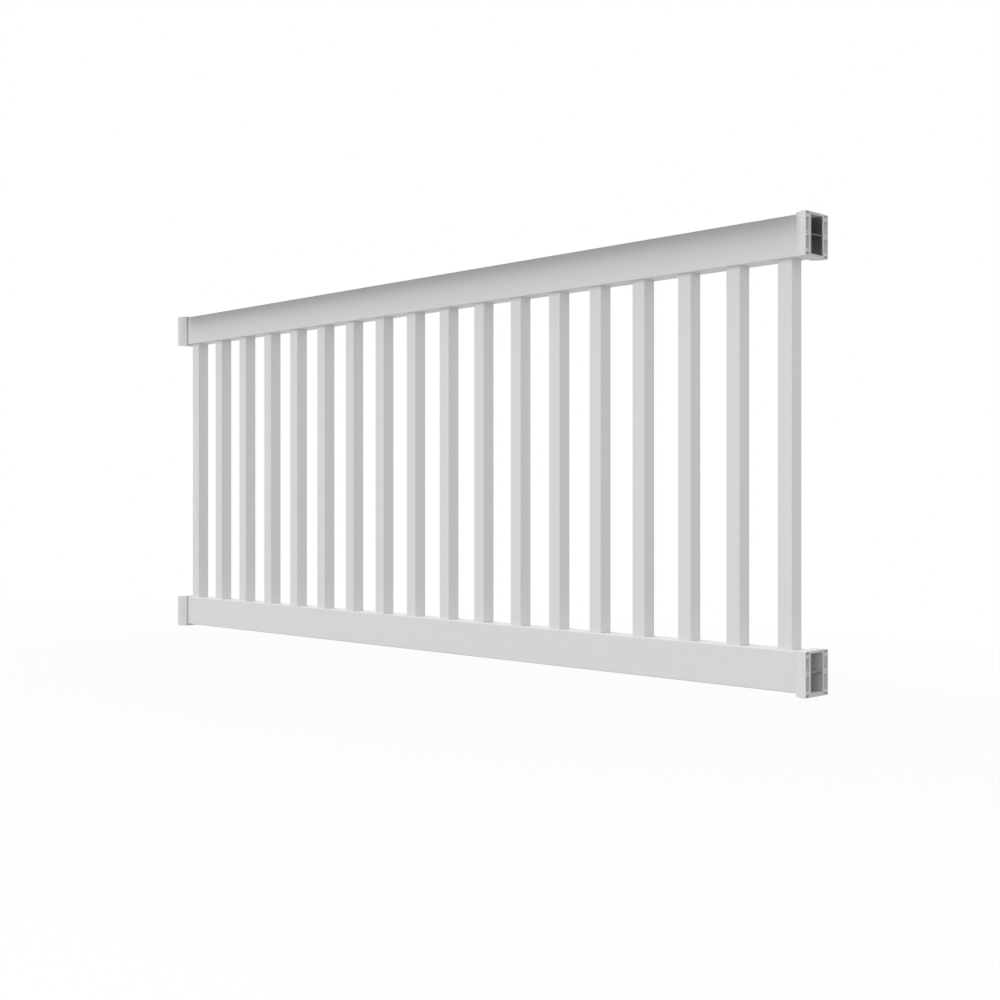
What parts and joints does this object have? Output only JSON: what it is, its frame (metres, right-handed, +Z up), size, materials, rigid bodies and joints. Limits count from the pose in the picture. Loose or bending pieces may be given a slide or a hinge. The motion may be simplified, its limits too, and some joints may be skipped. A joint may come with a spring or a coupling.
{
  "type": "vinyl deck railing panel",
  "caption": "White vinyl deck railing panel: hollow top and bottom rails with stiffeners, square balusters between them, and a moulded sleeve bracket at each rail end.",
  "frame": {"origin": "on the post face of the lower left bracket, in the middle of the panel's thickness, at the bracket's lower edge", "axes": "+X along the panel from the left post face to the right one, +Y through the panel towards its back, +Z up"},
  "size_m": [2.3876, 0.086, 1.0107],
  "materials": {
    "white_vinyl": "satin",
    "bracket_plastic": "satin",
    "grey_vinyl": "matte",
    "aluminium": "mill"
  },
  "bodies": {
    "root": {"bottom_rail": "white_vinyl", "top_rail": "white_vinyl", "bottom_stiffener": "grey_vinyl", "top_stiffener": "aluminium", "baluster_01": "white_vinyl", "baluster_02": "white_vinyl", "baluster_03": "white_vinyl", "baluster_04": "white_vinyl", "baluster_05": "white_vinyl", "baluster_06": "white_vinyl", "baluster_07": "white_vinyl", "baluster_08": "white_vinyl", "baluster_09": "white_vinyl", "baluster_10": "white_vinyl", "baluster_11": "white_vinyl", "baluster_12": "white_vinyl", "baluster_13": "white_vinyl", "baluster_14": "white_vinyl", "baluster_15": "white_vinyl", "baluster_16": "white_vinyl", "baluster_17": "white_vinyl", "baluster_18": "white_vinyl", "lower_left_bracket": "bracket_plastic", "lower_right_bracket": "bracket_plastic", "upper_left_bracket": "bracket_plastic", "upper_right_bracket": "bracket_plastic"}
  },
  "joints": []
}
